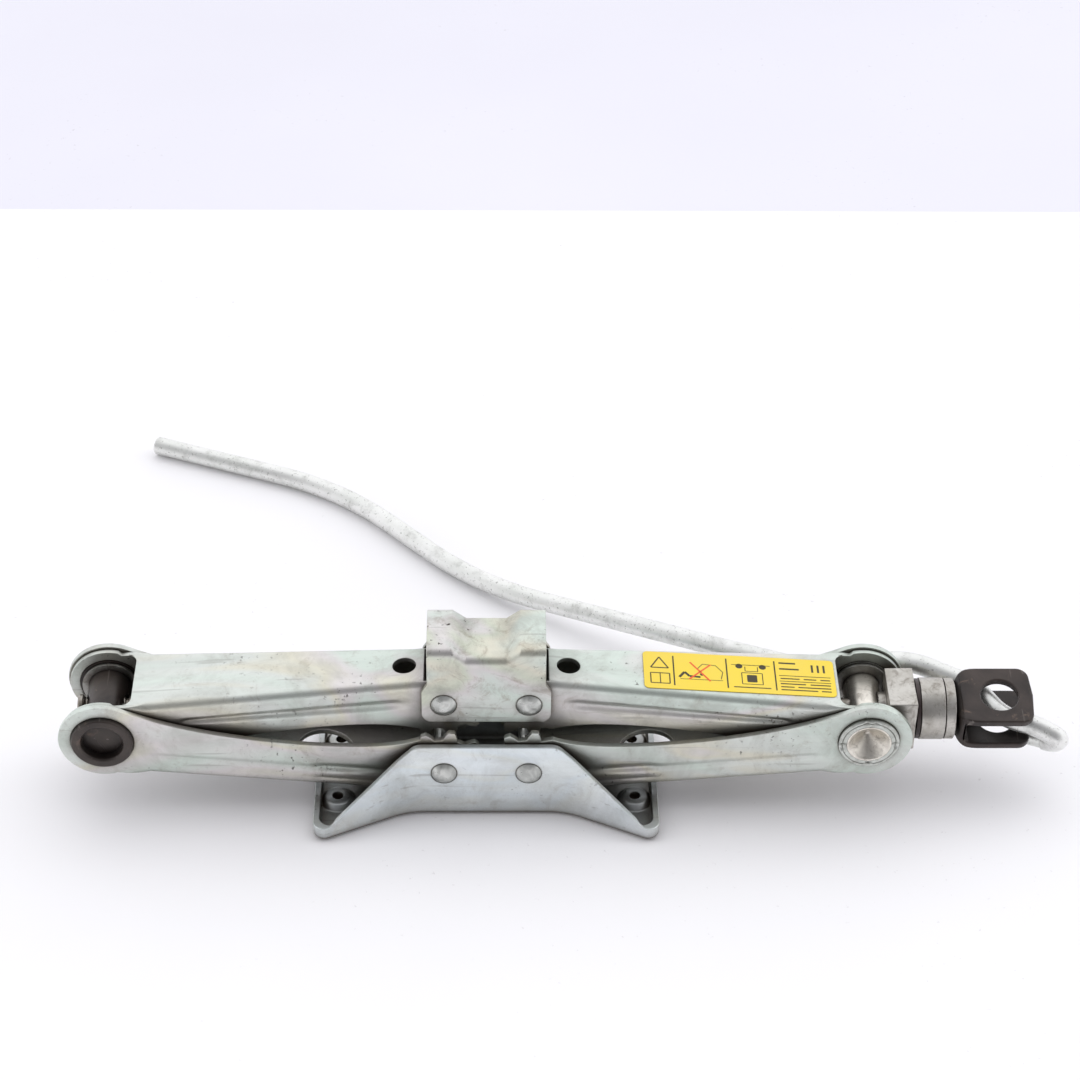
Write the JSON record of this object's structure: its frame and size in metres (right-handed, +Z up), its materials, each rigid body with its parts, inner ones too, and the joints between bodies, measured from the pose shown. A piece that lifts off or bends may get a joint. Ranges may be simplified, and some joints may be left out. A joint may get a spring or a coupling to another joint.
{
  "type": "scissor jack",
  "caption": "Pressed-steel scissor car jack with geared arms, screw drive, flared base, grooved saddle and a bent crank handle parked in the screw's fork.",
  "frame": {"origin": "on the ground, under the middle of the base plate", "axes": "+X along the screw from the nut towards the crank, +Y across the jack towards the parked handle's free end, +Z up"},
  "size_m": [0.4777, 0.3137, 0.0932],
  "materials": {
    "zinc_sheet": "bright zinc plate on pressed sheet, faintly iridescent, scuffed",
    "zinc_pin": "zinc plated rivet head, slightly dull",
    "zinc_rod": "dull zinc plate on drawn rod, stained",
    "turned_steel": "turned steel, zinc plated, greasy",
    "ball_steel": "polished bearing steel",
    "screw_steel": "rolled thread, oiled and grimy",
    "black_steel": "dark brown phosphated steel, satin",
    "black_washer": "blackened steel, greasy",
    "label": "yellow printed film, scuffed"
  },
  "bodies": {
    "base": {"base_plate": "zinc_sheet", "base_pin_left": "zinc_pin", "base_pin_right": "zinc_pin"},
    "lower_left": {"lower_arm_left": "zinc_sheet"},
    "nut": {"trunnion_nut": "black_steel", "nut_bushes": "black_steel"},
    "nut_washers": {"nut_washers": "turned_steel"},
    "upper_left": {"upper_arm_left": "zinc_sheet"},
    "saddle": {"saddle": "zinc_sheet", "saddle_pin_left": "zinc_pin", "saddle_pin_right": "zinc_pin"},
    "lower_right": {"lower_arm_right": "zinc_sheet"},
    "cross_shaft": {"trunnion_shaft": "turned_steel", "shaft_bushes": "turned_steel", "thrust_block": "turned_steel", "bearing_cup": "turned_steel"},
    "shaft_washers": {"shaft_washers": "turned_steel"},
    "thrust_washer": {"thrust_washer": "black_washer"},
    "balls": {"bearing_balls": "ball_steel"},
    "upper_right": {"upper_arm_right": "zinc_sheet", "label": "label"},
    "screw": {"lead_screw": "screw_steel", "bearing_ring": "turned_steel", "crank_fork": "black_steel"},
    "handle": {"crank_handle": "zinc_rod"}
  },
  "joints": [
    {"name": "lift", "type": "hinge", "parent": "base", "child": "lower_left", "pos_m": [-0.02, 0, 0.027], "axis": [0, 1, 0], "range_deg": [0, 68]},
    {"name": "left_trunnion_turn", "type": "hinge", "parent": "lower_left", "child": "nut", "pos_m": [-0.18012, 0, 0.04383], "axis": [0, 1, 0], "range_deg": [-68, 0]},
    {"name": "upper_left_swing", "type": "hinge", "parent": "lower_left", "child": "upper_left", "pos_m": [-0.18012, 0, 0.04383], "axis": [0, 1, 0], "range_deg": [-136, 0]},
    {"name": "saddle_level", "type": "hinge", "parent": "upper_left", "child": "saddle", "pos_m": [-0.02, 0, 0.06066], "axis": [0, 1, 0], "range_deg": [0, 68]},
    {"name": "lower_right_swing", "type": "hinge", "parent": "base", "child": "lower_right", "pos_m": [0.02, 0, 0.027], "axis": [0, 1, 0], "range_deg": [-68, 0]},
    {"name": "right_trunnion_turn", "type": "hinge", "parent": "lower_right", "child": "cross_shaft", "pos_m": [0.18012, 0, 0.04383], "axis": [0, 1, 0], "range_deg": [0, 68]},
    {"name": "upper_right_swing", "type": "hinge", "parent": "lower_right", "child": "upper_right", "pos_m": [0.18012, 0, 0.04383], "axis": [0, 1, 0], "range_deg": [0, 136]},
    {"name": "screw_turn", "type": "hinge", "parent": "cross_shaft", "child": "screw", "pos_m": [0.18012, 0, 0.04383], "axis": [1, 0, 0], "continuous": true},
    {"name": "ball_ring_turn", "type": "hinge", "parent": "cross_shaft", "child": "balls", "pos_m": [0.18012, 0, 0.04383], "axis": [1, 0, 0], "continuous": true},
    {"name": "thrust_washer_spin", "type": "hinge", "parent": "cross_shaft", "child": "thrust_washer", "pos_m": [0.18012, 0, 0.04383], "axis": [1, 0, 0], "continuous": true},
    {"name": "nut_washer_spin", "type": "hinge", "parent": "nut", "child": "nut_washers", "pos_m": [-0.18012, 0, 0.04383], "axis": [0, 1, 0], "continuous": true},
    {"name": "shaft_washer_spin", "type": "hinge", "parent": "cross_shaft", "child": "shaft_washers", "pos_m": [0.18012, 0, 0.04383], "axis": [0, 1, 0], "continuous": true},
    {"name": "handle_out", "type": "slide", "parent": "screw", "child": "handle", "axis": [1, 0, 0], "range_m": [0, 0.06]}
  ],
  "couplings": [
    {"joint": "left_trunnion_turn", "follows": "lift", "ratio": -1},
    {"joint": "upper_left_swing", "follows": "lift", "ratio": -2},
    {"joint": "saddle_level", "follows": "lift", "ratio": 1},
    {"joint": "lower_right_swing", "follows": "lift", "ratio": -1},
    {"joint": "right_trunnion_turn", "follows": "lift", "ratio": 1},
    {"joint": "upper_right_swing", "follows": "lift", "ratio": 2},
    {"joint": "ball_ring_turn", "follows": "screw_turn", "ratio": 0.5}
  ]
}
